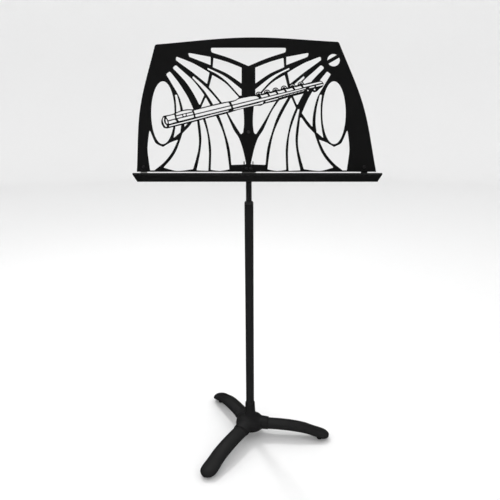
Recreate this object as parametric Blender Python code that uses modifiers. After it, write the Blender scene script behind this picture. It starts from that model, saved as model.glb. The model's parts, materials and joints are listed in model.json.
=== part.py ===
"""Music stand with a cut-out desk: three-leg base, telescoping pole, tilting desk with a ledge.

Metres, +Z up. The origin is on the floor, at the middle of the whole stand's width.
The player is on the -Y side.
Outlines in the desk's plane are written in millimetres: u to the right, v up from the ledge's fold.
"""

from math import asin, ceil, cos, degrees, pi, radians, sin, tan

import bmesh
import bpy
from mathutils import Matrix, Vector

MM = 0.001
GAP = 0.0003

# Pole
TUBE_RADIUS = 0.010
TUBE_BORE = 0.0085
TUBE_BOTTOM = 0.050
TUBE_TOP = 0.5966
PLUG_TOP = 0.075
SHAFT_RADIUS = 0.00635
SHAFT_BOTTOM = 0.118
SHAFT_TOP = 0.6585
SHAFT_CHAMFER = 0.0006
CLUTCH_TOP = 0.603
CLUTCH_SHOULDER = 0.0028
CLUTCH_MOUTH = 0.0082
CLUTCH_RING = 0.0025
SLEEVE_BOTTOM = 0.515
SLEEVE_TOP = 0.565
TAIL_BUSH_RADIUS = 0.0080
TAIL_BUSH_LENGTH = 0.030
TAIL_BUSH_CHAMFER = 0.0008
TAIL_NECK_RADIUS = 0.0042
TAIL_NECK_SPARE = 0.003
TAIL_GROOVE_RADIUS = 0.0032
TAIL_GROOVE_WIDTH = 0.0016
TAIL_CLIP_HEIGHT = 0.0035
TAIL_CLIP_RADIUS = 0.0066

# Desk
RECLINE = radians(18.35)
PIVOT_HEIGHT = 0.670
PANEL_FRONT = -0.027
FOLD_DROP = -0.0304
SHEET = 0.0015
TRAY_DEPTH = 0.060
TRAY_FLANGE = 0.0176
TRAY_LIP = 0.0023
TRAY_LEFT = -0.235
TRAY_RIGHT = 0.273
TRAY_END_SLANT = 0.006

# Tilt head
KNUCKLE_RADIUS = 0.0102
KNUCKLE_HALF = 0.0065
NECK_SIZE = (2 * KNUCKLE_HALF, 0.015, 0.014)
COLLAR_RADIUS = 0.0092
COLLAR_TOP = 0.6580
COLLAR_BOTTOM = 0.6475
HEAD_PIN_RADIUS = 0.0013
HEAD_PIN_HEIGHT = 0.6510
HEAD_PIN_LENGTH = 0.0176
EAR_SHEET = 0.0025
EAR_BOTTOM = -0.0125
EAR_TOP = 0.0006
WASHER_THICKNESS = 0.001
WASHER_RADIUS = 9.0
SPRING_THICKNESS = 0.0015
SPRING_RADIUS = 5.6
NUT_THICKNESS = 0.004
NUT_RADIUS = 5.8
PIVOT_HOLE = 3.4
PIVOT_BOLT_RADIUS = 0.003
PIVOT_HEAD_RADIUS = 0.0056
PIVOT_HEAD_HEIGHT = 0.0032

# Bracket, straps and rivets, in millimetres in the desk's plane
BRACKET_BOTTOM = 3.5
BRACKET_SHOULDER = 30.0
BRACKET_TONGUE_TOP = 112.0
BRACKET_HALVES = {"plate": 14.0, "waist": 4.2, "tongue": 7.5}
STRAP_HALF = 7.0
STRAP_BOTTOM = 4.0
STRAP_TOP = 36.0
STRAP_U = {"left": -221.5, "right": 245.0}
LOW_RIVET = 9.0
HIGH_RIVET = 30.0
RIVET_HOLE = 2.3
RIVET_RADIUS = 0.002
RIVET_HEAD = 0.0036
RIVET_DOME = 0.0012
RIVET_TAIL = 0.001
BRACKET_TRAY_RIVETS = {"tray_rivet_left": (-10, LOW_RIVET), "tray_rivet_right": (10, LOW_RIVET)}
BRACKET_PANEL_RIVETS = {
    "panel_rivet_left": (-4.6, 26.5),
    "panel_rivet_right": (4.6, 26.5),
    "panel_rivet_top": (0, 104),
}

# Base
LEG_ANGLES = {"right": -6.0, "rear_left": 119.5, "front_left": 239.4}
LEG_WIDTH = 0.0395
LEG_ROOT = 0.030
LEG_HEIGHT = 0.0355
ROOT_THICKNESS = 0.0225
# Each station of a leg: reach from the pole, height of its middle, share of its width, thickness.
LEG_LINE = [
    (LEG_ROOT, LEG_HEIGHT, 1.0, ROOT_THICKNESS), (0.060, LEG_HEIGHT, 1.0, ROOT_THICKNESS),
    (0.080, 0.0349, 1.0, 0.0225), (0.097, 0.0340, 1.0, 0.0224), (0.115, 0.0323, 1.0, 0.0220),
    (0.133, 0.0296, 1.0, 0.0211), (0.145, 0.0269, 1.0, 0.0201), (0.155, 0.0238, 1.0, 0.0190),
    (0.165, 0.0205, 1.03, 0.0180), (0.175, 0.0175, 1.07, 0.0172), (0.185, 0.0147, 1.07, 0.0165),
    (0.190, 0.0135, 1.01, 0.0160), (0.195, 0.0126, 0.88, 0.0149), (0.1985, 0.0120, 0.72, 0.0130),
    (0.201, 0.0117, 0.54, 0.0109), (0.203, 0.0115, 0.33, 0.0085), (0.204, 0.0114, 0.12, 0.0060),
]
SOCKET_WALL = 0.0016
SOCKET_REACH = 0.0475
SOCKET_SPARE = 0.004
HUB_TOP = 0.0955
HUB_BOTTOM = 0.0250
HUB_SIDE = [
    (0.0110, HUB_TOP), (0.0118, 0.0945), (0.0122, 0.0850), (0.0134, 0.0660), (0.0160, 0.0590),
    (0.0225, 0.0540),
    (0.0310, 0.0490), (0.0355, 0.0430), (0.0368, 0.0340), (0.0350, 0.0270), (0.0300, HUB_BOTTOM),
]
HUB_FLOOR = 0.040
HUB_RECESS_RADIUS = 0.0125
BASE_BOLT_RADIUS = 0.004
BASE_BOLT_TOP = 0.072
BASE_BOLT_HEAD = 0.0053
BASE_BOLT_HEAD_RADIUS = 0.0075
BASE_WASHER_THICKNESS = 0.0015
LEG_SCREW_AT = 0.0388
LEG_SCREW_RADIUS = 0.0025
LEG_SCREW_HEAD_RADIUS = 0.0046
LEG_SCREW_HEAD = 0.0026
LEG_SCREW_TOP = 0.0370
LEG_SCREW_SEAT = LEG_HEIGHT - ROOT_THICKNESS / 2 - SOCKET_WALL - 2 * GAP
GLIDE_REACH = 0.179
GLIDE_RADIUS = 0.0065
GLIDE_SEAT = 0.0085
GLIDE_STEM = 0.003
GLIDE_STEM_LENGTH = 0.006


def material(name, colour, roughness, metallic):
    made = bpy.data.materials.new(name)
    made.use_nodes = True
    shader = made.node_tree.nodes["Principled BSDF"]
    shader.inputs["Base Color"].default_value = (*colour, 1.0)
    shader.inputs["Roughness"].default_value = roughness
    shader.inputs["Metallic"].default_value = metallic
    return made


def start_scene():
    for old in list(bpy.data.objects):
        bpy.data.objects.remove(old, do_unlink=True)
    groups = {}
    for name in ("music_stand", "cutters"):
        groups[name] = bpy.data.collections.new(name)
        bpy.context.scene.collection.children.link(groups[name])
    return groups


GROUPS = start_scene()


def empty(name, location, rotation=(0, 0, 0), parent=None):
    made = bpy.data.objects.new(name, None)
    made.location = location
    made.rotation_euler = rotation
    made.parent = parent
    GROUPS["music_stand"].objects.link(made)
    return made


POLE = empty("pole_axis", (-(TRAY_LEFT + TRAY_RIGHT) / 2, 0, 0))
TILT = empty("tilt_axis", (0, 0, PIVOT_HEIGHT), (-RECLINE, 0, 0), POLE)


def place(data, name, finish=None, location=(0, 0, 0), rotation=(0, 0, 0), parent=POLE):
    """A sub-part when it has a finish, otherwise a cutter."""
    made = bpy.data.objects.new(name, data)
    made.location = location
    made.rotation_euler = rotation
    made.parent = parent
    if finish is None:
        made.hide_render = True
        made.display_type = "WIRE"
        GROUPS["cutters"].objects.link(made)
        return made
    data.materials.append(finish)
    GROUPS["music_stand"].objects.link(made)
    return made


def turned(name, profile, steps, *finish_and_place, **more):
    """A turned sub-part or cutter: its profile runs down its outer side, and back up any bore."""
    edges = [(k, k + 1) for k in range(len(profile) - 1)]
    if profile[0][0] > 0:
        edges.append((len(profile) - 1, 0))
    mesh = bpy.data.meshes.new(name)
    mesh.from_pydata([(radius, 0, height) for radius, height in profile], edges, [])
    made = place(mesh, name, *finish_and_place, **more)
    turn = made.modifiers.new("turn", "SCREW")
    turn.steps = steps
    turn.render_steps = steps
    turn.use_smooth_shade = False
    turn.use_merge_vertices = True
    turn.merge_threshold = 0.00001
    return made


def box_mesh(name, size):
    mesh = bpy.data.meshes.new(name)
    form = bmesh.new()
    bmesh.ops.create_cube(form, size=1.0, matrix=Matrix.Diagonal((*size, 1.0)))
    form.to_mesh(mesh)
    form.free()
    return mesh


def rod_mesh(name, radius, length, sides=20):
    mesh = bpy.data.meshes.new(name)
    form = bmesh.new()
    bmesh.ops.create_cone(form, cap_ends=True, segments=sides, radius1=radius, radius2=radius, depth=length)
    form.to_mesh(mesh)
    form.free()
    return mesh


def as_mesh(curve_object, name):
    """The mesh of a curve object, its caps welded; the curve is removed."""
    bpy.context.view_layer.update()
    graph = bpy.context.evaluated_depsgraph_get()
    mesh = bpy.data.meshes.new_from_object(curve_object.evaluated_get(graph))
    mesh.name = name
    form = bmesh.new()
    form.from_mesh(mesh)
    bmesh.ops.remove_doubles(form, verts=form.verts, dist=1e-6)
    bmesh.ops.recalc_face_normals(form, faces=form.faces)
    form.to_mesh(mesh)
    form.free()
    bpy.data.objects.remove(curve_object, do_unlink=True)
    return mesh


def plate_mesh(name, outlines, thickness):
    """A flat plate in XY, centred on Z = 0; outlines inside another are holes."""
    curve = bpy.data.curves.new(name + "_outline", "CURVE")
    curve.dimensions = "2D"
    curve.fill_mode = "BOTH"
    curve.extrude = thickness / 2
    for points in outlines:
        spline = curve.splines.new("POLY")
        spline.points.add(len(points) - 1)
        for knot, (x, y) in zip(spline.points, points):
            knot.co = (x, y, 0, 1)
        spline.use_cyclic_u = True
    holder = bpy.data.objects.new(name + "_outline", curve)
    GROUPS["cutters"].objects.link(holder)
    return as_mesh(holder, name)


def combine(target, tool, operation):
    cut = target.modifiers.new(tool.name, "BOOLEAN")
    cut.operation = operation
    cut.object = tool
    cut.solver = "EXACT"


def circle(x, y, radius, sides=16):
    """A round outline in metres; its centre and radius are in millimetres."""
    turns = [2 * pi * k / sides for k in range(sides)]
    return [((x + radius * cos(a)) * MM, (y + radius * sin(a)) * MM) for a in turns]


# Outlines: (x, y, r) is a corner rounded to radius r, and (x, y) is a point that a smooth side passes.


def smooth_side(points, spacing):
    """Points along a centripetal spline through the given ones, ends included."""
    if len(points) == 2:
        return [Vector(points[0]), Vector(points[1])]
    knots = [Vector(p) for p in points]
    knots = [2 * knots[0] - knots[1]] + knots + [2 * knots[-1] - knots[-2]]
    run = [knots[1]]
    for a, b, c, d in zip(knots, knots[1:], knots[2:], knots[3:]):
        t1 = (b - a).length ** 0.5
        t2 = t1 + (c - b).length ** 0.5
        t3 = t2 + (d - c).length ** 0.5
        pieces = ceil((c - b).length / spacing)
        for k in range(1, pieces + 1):
            t = t1 + (t2 - t1) * k / pieces
            ab = a.lerp(b, t / t1)
            bc = b.lerp(c, (t - t1) / (t2 - t1))
            cd = c.lerp(d, (t - t2) / (t3 - t2))
            first = ab.lerp(bc, t / t2)
            last = bc.lerp(cd, (t - t1) / (t3 - t1))
            run.append(first.lerp(last, (t - t1) / (t2 - t1)))
    return run


def trimmed(run, length):
    """The run without its first stretch of this length."""
    left = length
    for k in range(len(run) - 1):
        step = (run[k + 1] - run[k]).length
        if step > left:
            return [run[k].lerp(run[k + 1], left / step)] + run[k + 1:]
        left -= step
    return run[-1:]


def outline(points, spacing=20.0, arc_steps=3):
    """A closed outline in metres from corners and pass-through points in millimetres."""
    first = next(k for k, p in enumerate(points) if len(p) == 3)
    points = points[first:] + points[:first] + [points[first]]
    corners = [k for k, p in enumerate(points) if len(p) == 3]
    sides = []
    for start, end in zip(corners, corners[1:]):
        sides.append(smooth_side([p[:2] for p in points[start:end + 1]], spacing))
    cuts = []
    for k, corner in enumerate(corners[:-1]):
        here = sides[k]
        before = sides[k - 1]
        ahead = (here[1] - here[0]).normalized()
        behind = (before[-2] - before[-1]).normalized()
        half = max(ahead.angle(behind) / 2, 0.12)
        room = min(sum((b - a).length for a, b in zip(side, side[1:])) for side in (here, before))
        cuts.append(min(points[corner][2] / tan(half), 0.45 * room))
    loop = []
    for k, side in enumerate(sides):
        middle = trimmed(side, cuts[k])
        middle = trimmed(middle[::-1], cuts[(k + 1) % len(cuts)])[::-1]
        previous = trimmed(sides[k - 1][::-1], cuts[k])[0]
        if points[corners[k]][2] > 0:
            for step in range(1, arc_steps):
                t = step / arc_steps
                loop.append(previous.lerp(side[0], t).lerp(side[0].lerp(middle[0], t), t))
        loop.extend(middle)
    return [(p.x * MM, p.y * MM) for p in loop]


# The desk's sunburst, one half: every opening is mirrored about the centre line.

TOP_OPENING = [
    (-80, 282.4, 5), (80, 282.4, 5), (78, 272.5, 4), (38, 259.5), (0, 243.5, 1.5), (-38, 259.5),
    (-78, 272.5, 4),
]

HALF_OPENINGS = {
    "upper_strip": [(-128, 272, 4), (-80, 263, 1), (-80, 245.5, 1), (-125, 263, 4)],
    "shoulder": [(-74, 261, 1), (-45, 252.5), (-14.5, 240.5, 1), (-14.5, 206.5, 1), (-45, 227.3),
        (-75.5, 241, 1)],
    "flared_finger": [
        (-153, 264, 4), (-122, 252), (-100, 240.3), (-82.5, 229.5, 1),
        (-87.5, 205.5, 1), (-120, 231.6), (-140, 246), (-153.5, 256, 2),
    ],
    "thin_sliver": [
        (-86.5, 240, 1.2), (-50, 222), (-14.5, 194.5, 1), (-14.5, 181, 1), (-19, 181, 1),
        (-48, 212.5), (-70, 228.3),
        (-86.5, 236.5, 1.2),
    ],
    "inner_wedge": [
        (-76.5, 225, 1), (-50, 208.7), (-20, 177, 1), (-13, 172, 1), (-9.7, 140), (-11.2, 104),
        (-15.5, 98, 2.5), (-34, 127.3), (-57, 167), (-83.5, 199, 1),
    ],
    "long_finger": [
        (-154, 246.5, 4.5), (-138, 232), (-118, 214), (-100, 191.7), (-93.5, 182.5, 1),
        (-101, 164.5), (-103.3, 160.5, 1.5), (-116.6, 186), (-135, 213), (-160.5, 239.5, 3),
    ],
    "lower_ray": [
        (-117.5, 223, 2.5), (-90, 198.7), (-62, 167), (-46.5, 142.5), (-31.5, 109), (-20.5, 92),
        (-11.5, 66), (-4.8, 35.5, 2), (-36, 34.5, 1.5), (-40, 69.7), (-50, 105), (-62, 138.5), (-92.5, 190),
        (-118.5, 218.5, 2),
    ],
    "lower_blade": [
        (-90.5, 178, 1.5), (-70, 140.5), (-53.5, 102), (-44.7, 61), (-40.3, 25, 2), (-60, 21.9),
        (-79.8, 24, 2),
        (-79.3, 74), (-90, 128.5), (-100.5, 155, 1),
    ],
    "narrow_blade": [
        (-108, 152.5, 1.2), (-101, 110), (-99.5, 85), (-103, 55), (-110, 23, 2), (-85, 22, 1.5),
        (-83.6, 58), (-87.3, 100.7), (-95.5, 129), (-104.6, 152.5, 1.2),
    ],
    "wide_blade": [
        (-112.3, 134.5, 0.9), (-126, 115.3), (-139.5, 101.5, 1.5), (-151, 68.5), (-163, 48),
        (-180, 29, 1.5),
        (-151.5, 22), (-117, 25.5, 2), (-107, 62), (-104.7, 85.3), (-109.4, 134.5, 0.9),
    ],
    "outer_finger": [
        (-174.5, 226.5, 3.5), (-166.5, 232.5, 3), (-150, 212), (-126.7, 175), (-113, 144, 1), (-125.6, 126),
        (-135.5, 114, 1.2), (-136, 135), (-144.5, 174), (-160, 202.5),
    ],
    "outer_sliver": [
        (-151.2, 183, 1), (-145, 158), (-141.8, 126), (-144, 103.5, 1), (-158.5, 91, 1),
        (-153.5, 122), (-152.8, 160),
        (-155.5, 183, 1),
    ],
    "corner_fin": [
        (-209.3, 109.5, 1.5), (-213.5, 70), (-208, 23, 1.5), (-199, 23, 1), (-180, 38.4), (-161.8, 60.8),
        (-148.5, 88.5, 1.5), (-166, 81.6), (-181, 72.7), (-195, 79.5), (-204.5, 98),
    ],
}
SIDE_OVAL = (-181, 145, 24.8, 66.5)
CROSSED_CIRCLE = (180, 256, 13.2)
CIRCLE_BAR_WIDTH = 7.3
CIRCLE_BAR_TURN = 30
CIRCLE_BAR_OFFSET = 2.5

PANEL_OUTLINE = [
    (-236, 20, 0.5), (-229, 155), (-197.5, 289, 6), (0, 304), (191, 294.5, 6), (243, 160), (270, 20, 0.5),
]

# The flute figure, in its own frame: s along the flute from its crown, t across it.

FLUTE_START = (-176, 124)
FLUTE_ANGLE = radians(13.6)
MID_LINE = 2.3
KEY_PITCH = 18.36
FIRST_KEY = 206.0
KEY_COUNT = 6
KEY_RISE = 10.0
KEY_RADIUS = 7.2

FLUTE_SILHOUETTE_TOP = [
    (-1, 14.7, 3), (19.5, 13.9), (26, 15.2), (38, 17.1), (52, 16.4), (62, 13.8), (81, 13.0), (122, 13.1),
    (157, 12.0), (163, 14.8), (184, 13.8), (199, 11.6),
]
FLUTE_SILHOUETTE_END = [(304, 10.6), (322, 10.8), (340, 9.4, 4), (345.5, 2, 3), (342, -4), (334, -7, 1)]
FLUTE_SILHOUETTE_BOTTOM = [
    (328.5, -10.6), (322.5, -11.8), (316, -8.4), (300, -8.9), (262, -9.4), (240, -10.9), (212, -10.9),
    (205, -12.7), (197, -10.9), (160, -10.1), (127, -11.9), (97, -11.7), (57, -12.8), (1, -13, 2),
    (-5.5, -10.5),
    (-8, -3), (-7.2, 6),
]


def in_flute_frame(points):
    """Flute (s, t, ...) to desk (u, v, ...)."""
    across = cos(FLUTE_ANGLE)
    up = sin(FLUTE_ANGLE)
    moved = []
    for s, t, *rest in points:
        moved.append((FLUTE_START[0] + s * across - t * up, FLUTE_START[1] + s * up + t * across, *rest))
    return moved


def key_centre(k):
    return FIRST_KEY + KEY_PITCH * k


def arc(s, t, radius, start, end, steps, spread=1.0):
    angles = [start + (end - start) * k / steps for k in range(steps + 1)]
    return [(s + spread * radius * cos(radians(a)), t + radius * sin(radians(a))) for a in angles]


def flute_silhouette():
    keys = []
    for k in range(KEY_COUNT):
        keys.extend(arc(key_centre(k), KEY_RISE, KEY_RADIUS, 170, 10, 5))
    return FLUTE_SILHOUETTE_TOP + keys + FLUTE_SILHOUETTE_END + FLUTE_SILHOUETTE_BOTTOM


def flute_windows():
    """The openings inside the flute figure, as outlines in its frame."""
    low = MID_LINE - 1.0
    high = MID_LINE + 1.0
    windows = [
        [(-1.5, 11.5, 0.8), (0.4, 11.2, 0.8), (-1.7, 4.5), (-1.6, -1.1), (0.6, -4.7),
         (2.1, -8.6, 1), (-0.6, -10, 1.2),
         (-2.6, -6.1), (-3.9, 0.9), (-3.7, 7.1)],
        [(2.2, 6.6, 0.7), (4.2, 6.4, 0.7), (5.0, 0), (4.2, -4, 0.6), (1.7, -1.6)],
        [(4.6, 12, 1.5), (22.6, 12, 1.5), (22.6, high, 1.5), (7.5, high, 1.2)],
        [(7.2, low - 0.3, 1.2), (21.6, low, 1), (24.4, -3.9, 1), (7.2, -4.8, 1.2)],
        [(6.2, -7.8, 1), (60, -7.2), (97, -6.5), (136, -6.2, 0.9), (136, -8.2, 0.9), (97, -8.9), (60, -9.8),
         (6.2, -10.4, 1)],
        [(26.4, 9.4, 1), (26.4, 13, 1.5), (32, 14.4), (42, 15), (52, 14.2), (61, 12, 1.5), (61.4, 9.4, 1)],
        [(26, high, 1), (26, 7.4, 1), (38.6, 7.4, 1), (38.6, high, 1)],
        [(48, high, 1), (48, 7.4, 1), (61.4, 7.4, 1), (62, high, 1)],
        arc(43.3, 5.8, 2.3, 0, 320, 8, 1.35),
        [(27, low, 1), (62, low, 1), (61.6, -3.6, 1), (29, -4.0, 1)],
        [(65.6, low, 1), (142.8, low, 1), (143, -3.7, 1), (65.2, -3.9, 1)],
        [(65.4, high, 1), (64.6, 10.6, 1), (100, 11), (139.6, 10.2, 1), (142.4, high, 1)],
        [(147, low, 1), (220, 1.4), (306, 1.6, 0.8), (306, -0.4, 0.6), (262, -1.5), (220, -2.7),
         (147, -3.6, 1)],
        [(147, high, 1), (145, 9, 1), (156, 9.8), (163.5, 12.2), (184, 11.4), (199, 9.4),
         (204, 5.4), (205.5, high, 1)],
        [(147, -6.2, 0.9), (175, -6.4), (200, -6.2), (213, -4.9, 0.9), (209.6, -9.6, 1.2),
         (200, -9), (175, -8.8),
         (147, -8.4, 0.9)],
        [(216.5, -5.7, 0.9), (244, -5.5, 0.8), (244, -7.5, 0.8), (216.5, -8.2, 0.9)],
        [(302, 3.9, 1), (301.6, 9, 1), (306, 7.9), (322, 7.4), (338, 7.2), (342.4, 6.4, 1.2),
         (343.4, 3.9, 1)],
        [(313.6, 1.3, 0.8), (325.6, 1.4, 0.8), (324, -1.2, 0.8), (313.6, -1.2, 0.8)],
        [(328, 1.2, 0.8), (343, 1.3, 0.8), (343, -1.6, 0.8), (328, -1.6, 0.8)],
        arc(309.4, -4.9, 1.7, 0, 300, 5),
        arc(323.6, -6.2, 1.9, 0, 300, 5),
    ]
    for k in range(KEY_COUNT - 1):
        left = key_centre(k) + 3.4
        right = key_centre(k + 1) + 1.2
        windows.append([(left + 1.2, high, 1), (left - 0.4, 9.4, 0.9), (left + 4, 7.8), (right - 2.6, 8.2, 1),
                        (right, high, 1)])
    for k in range(KEY_COUNT):
        centre = key_centre(k)
        outer = arc(centre, KEY_RISE, 5.2, 12, 150, 5)
        inner = arc(centre, KEY_RISE, 4.0, 150, 12, 5)
        windows.append([(*outer[0], 0.3)] + outer[1:-1] + [(*outer[-1], 0.3), (*inner[0], 0.3)] + inner[1:-1]
                       + [(*inner[-1], 0.3)])
    for k in range(7):
        start = 246 + 8.2 * k
        rise = -5.8 + 0.3 * k
        windows.append([(start, rise, 0.4), (start + 6.4, rise + 0.3, 0.4), (start + 6.4, rise + 1.5, 0.4),
                        (start, rise + 1.2, 0.4)])
    return windows


def closed(points, spacing=20.0, arc_steps=3):
    """An outline whether or not it has a corner."""
    if any(len(p) == 3 for p in points):
        return outline(points, spacing, arc_steps)
    return [(x * MM, y * MM) for x, y in points]


def circle_halves():
    """A round opening that an off-centre bar crosses, as two segments."""
    u, v, radius = CROSSED_CIRCLE
    halves = []
    for turn, offset in ((0, CIRCLE_BAR_OFFSET), (180, -CIRCLE_BAR_OFFSET)):
        reach = degrees(asin((CIRCLE_BAR_WIDTH / 2 + offset) / radius))
        start = CIRCLE_BAR_TURN + turn + reach
        halves.append(arc(u, v, radius, start, start + 180 - 2 * reach, 8))
    return halves


def sunburst_outlines():
    found = [outline(TOP_OPENING)]
    for points in HALF_OPENINGS.values():
        mirrored = [(-p[0], *p[1:]) for p in points]
        found.append(outline(points))
        found.append(outline(mirrored))
    u, v, across, tall = SIDE_OVAL
    for side in (-1, 1):
        oval = [(side * u + across * cos(radians(a)), v + tall * sin(radians(a))) for a in range(0, 360, 15)]
        found.append(closed(oval))
    found.extend(closed(half) for half in circle_halves())
    return found


def steps_between(start, end, count):
    return [start + (end - start) * k / count for k in range(count + 1)]


def turned_point(radius, angle, height):
    return (radius * cos(radians(angle)), radius * sin(radians(angle)), height)


BLACK_COAT = material("black_powder_coat", (0.010, 0.010, 0.011), 0.48, 0.0)
BLACK_STEEL = material("blackened_steel", (0.016, 0.016, 0.017), 0.38, 0.6)
BLACK_NYLON = material("black_nylon", (0.018, 0.018, 0.018), 0.5, 0.0)
BLACK_RUBBER = material("black_rubber", (0.014, 0.014, 0.014), 0.8, 0.0)
BRIGHT_STEEL = material("plated_steel", (0.55, 0.55, 0.56), 0.3, 1.0)

STAND_UP = (pi / 2, 0, 0)
ALONG_X = (0, pi / 2, 0)
CUT_DEPTH = 9 * SHEET


def on_desk(data, name, finish, back=0.0):
    """A flat piece in the desk's plane, its middle this far behind the panel's front face."""
    return place(data, name, finish, (0, PANEL_FRONT + back, FOLD_DROP), STAND_UP, TILT)


def drill_rivet_holes(target, rivets, back):
    holes = [circle(u, v, RIVET_HOLE, 10) for u, v in rivets.values()]
    drill = on_desk(plate_mesh(target.name + "_drill", holes, CUT_DEPTH), target.name + "_drill", None, back)
    combine(target, drill, "DIFFERENCE")


def strap_rivets(row, v):
    return {f"strap_{side}_rivet_{row}": (u, v) for side, u in STRAP_U.items()}


def make_desk_panel():
    middle = SHEET / 2
    blank = plate_mesh("desk_panel", [outline(PANEL_OUTLINE, 24.0)], SHEET)
    panel = on_desk(blank, "desk_panel", BLACK_COAT, middle)
    rays = on_desk(plate_mesh("ray_cutter", sunburst_outlines(), CUT_DEPTH), "ray_cutter", None, middle)
    figure = outline(in_flute_frame(flute_silhouette()), 9.0)
    keep = on_desk(plate_mesh("flute_keep", [figure], 2 * CUT_DEPTH), "flute_keep", None, middle)
    combine(rays, keep, "DIFFERENCE")
    combine(panel, rays, "DIFFERENCE")
    windows = [closed(in_flute_frame(points), 30.0, 2) for points in flute_windows()]
    cells = on_desk(plate_mesh("flute_cutter", windows, CUT_DEPTH), "flute_cutter", None, middle)
    combine(panel, cells, "DIFFERENCE")
    drill_rivet_holes(panel, BRACKET_PANEL_RIVETS | strap_rivets("high", HIGH_RIVET), middle)


def make_ledge_tray():
    """A folded sheet: flange on the desk's plane, floor at right angles to it, small lip in front."""
    mesh = bpy.data.meshes.new("ledge_tray")
    form = bmesh.new()
    bmesh.ops.create_grid(form, x_segments=1, y_segments=3, size=0.5)
    stations = [
        (PANEL_FRONT, TRAY_FLANGE, 0.0),
        (PANEL_FRONT, 0.0, 0.0),
        (PANEL_FRONT - TRAY_DEPTH, 0.0, TRAY_END_SLANT),
        (PANEL_FRONT - TRAY_DEPTH, TRAY_LIP, TRAY_END_SLANT),
    ]
    for corner in form.verts:
        out, rise, inset = stations[round((0.5 - corner.co.y) * 3)]
        end = TRAY_LEFT + inset if corner.co.x < 0 else TRAY_RIGHT - inset
        corner.co = (end, out, FOLD_DROP + rise)
    form.to_mesh(mesh)
    form.free()
    tray = place(mesh, "ledge_tray", BLACK_COAT, parent=TILT)
    wall = tray.modifiers.new("sheet", "SOLIDIFY")
    wall.thickness = SHEET
    wall.offset = -1.0
    wall.use_even_offset = True
    drill_rivet_holes(tray, BRACKET_TRAY_RIVETS | strap_rivets("low", LOW_RIVET), SHEET / 2)


def make_tilt_bracket():
    """The back plate that joins tray and panel, with an ear each side of the knuckle."""
    back = SHEET + GAP + EAR_SHEET / 2
    plate_half, waist_half, tongue_half = BRACKET_HALVES.values()
    rise = [
        (plate_half, BRACKET_BOTTOM), (plate_half, BRACKET_SHOULDER), (waist_half, BRACKET_SHOULDER + 3),
        (tongue_half, 60), (tongue_half, BRACKET_TONGUE_TOP),
    ]
    shape = [(u * MM, v * MM) for u, v in rise + [(-u, v) for u, v in reversed(rise)]]
    bracket = on_desk(plate_mesh("tilt_bracket", [shape], EAR_SHEET), "tilt_bracket", BRIGHT_STEEL, back)
    reach = -PANEL_FRONT - back
    ear_outline = [(reach, EAR_BOTTOM), (reach, EAR_TOP)]
    for turn in steps_between(0.4 * pi, 1.6 * pi, 12):
        ear_outline.append((KNUCKLE_RADIUS * cos(turn), KNUCKLE_RADIUS * sin(turn)))
    for side, sign in (("left", -1), ("right", 1)):
        across = sign * (KNUCKLE_HALF + WASHER_THICKNESS + 2 * GAP + EAR_SHEET / 2)
        ear_mesh = plate_mesh("ear_" + side, [[(y, -x) for x, y in ear_outline]], EAR_SHEET)
        ear = place(ear_mesh, "ear_" + side, None, (across, 0, 0), ALONG_X, TILT)
        combine(bracket, ear, "UNION")
    drill = rod_mesh("ear_bore", PIVOT_BOLT_RADIUS + GAP, 0.06)
    bore = place(drill, "ear_bore", None, (0, 0, 0), ALONG_X, TILT)
    combine(bracket, bore, "DIFFERENCE")
    drill_rivet_holes(bracket, BRACKET_TRAY_RIVETS | BRACKET_PANEL_RIVETS, back)


def make_strap(side):
    """A flat strap behind the gap that holds the panel to the tray's flange."""
    left, right = STRAP_U[side] - STRAP_HALF, STRAP_U[side] + STRAP_HALF
    shape = [(left, STRAP_BOTTOM), (right, STRAP_BOTTOM), (right, STRAP_TOP), (left, STRAP_TOP)]
    holes = [circle(STRAP_U[side], v, RIVET_HOLE, 10) for v in (LOW_RIVET, HIGH_RIVET)]
    plate = plate_mesh("strap_" + side, [[(u * MM, v * MM) for u, v in shape]] + holes, SHEET)
    on_desk(plate, "strap_" + side, BRIGHT_STEEL, 1.5 * SHEET + GAP)


def make_rivet(name, u, v, grip):
    """A solid rivet through the sheets; its domed head is in front, its upset tail behind."""
    dome = [(RIVET_HEAD * sin(a), GAP + RIVET_DOME * cos(a)) for a in steps_between(0, pi / 2, 3)]
    tail = -grip - GAP
    shank = [
        (RIVET_RADIUS, GAP), (RIVET_RADIUS, tail), (0.8 * RIVET_HEAD, tail),
        (0.7 * RIVET_HEAD, tail - RIVET_TAIL),
        (0.0, tail - RIVET_TAIL),
    ]
    turned(name, dome + shank, 10, BLACK_STEEL, (u * MM, PANEL_FRONT, FOLD_DROP + v * MM), STAND_UP, TILT)


def make_rivets():
    bracket_grip = SHEET + GAP + EAR_SHEET
    strap_grip = 2 * SHEET + GAP
    for name, (u, v) in (BRACKET_TRAY_RIVETS | BRACKET_PANEL_RIVETS).items():
        make_rivet(name, u, v, bracket_grip)
    for name, (u, v) in (strap_rivets("low", LOW_RIVET) | strap_rivets("high", HIGH_RIVET)).items():
        make_rivet(name, u, v, strap_grip)


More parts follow.
